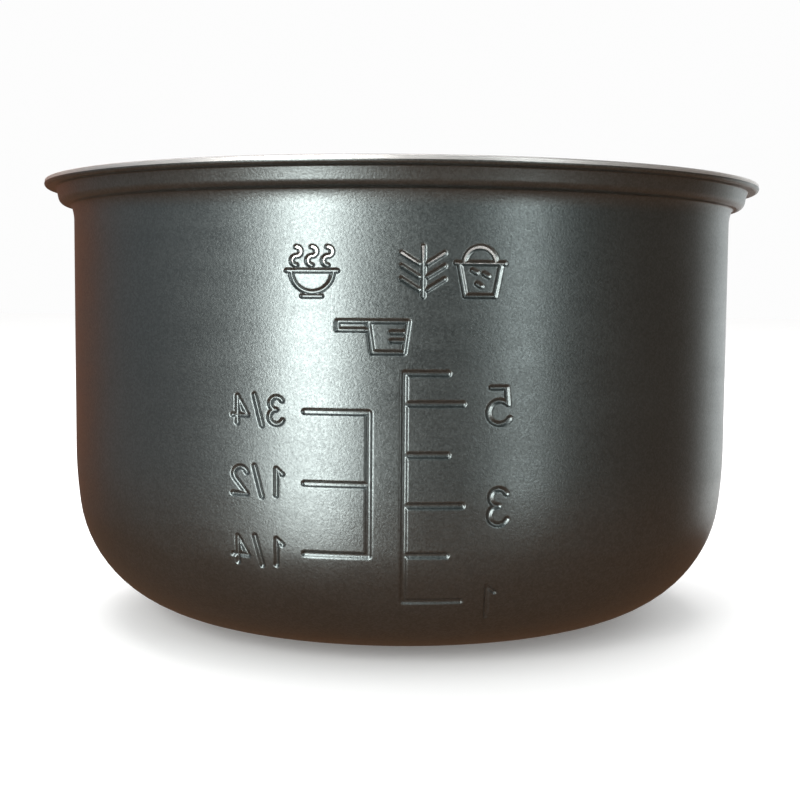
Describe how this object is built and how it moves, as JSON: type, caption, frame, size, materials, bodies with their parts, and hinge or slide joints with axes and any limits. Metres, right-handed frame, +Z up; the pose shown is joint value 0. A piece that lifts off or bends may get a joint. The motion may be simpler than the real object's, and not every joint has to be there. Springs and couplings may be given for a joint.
{
  "type": "rice cooker inner pot",
  "caption": "Round drawn aluminium inner pot with a stepped brim, soft rounded bottom, metallic outer coating, non-stick lining and stamped filling scales.",
  "frame": {"origin": "centre of the flat base, on the surface that the pot stands on", "axes": "+Z up along the pot's axis, -Y towards the stamped filling scales"},
  "size_m": [0.214, 0.214, 0.129],
  "materials": {
    "aluminium": "bare turned edge, bright, with fine lathe lines",
    "outer_coat": "satin charcoal metallic coating with a fine flake",
    "lining": "satin dark grey non-stick coating with fine light specks"
  },
  "bodies": {
    "root": {"aluminium_shell": "aluminium", "outer_coating": "outer_coat", "nonstick_lining": "lining"}
  },
  "joints": []
}
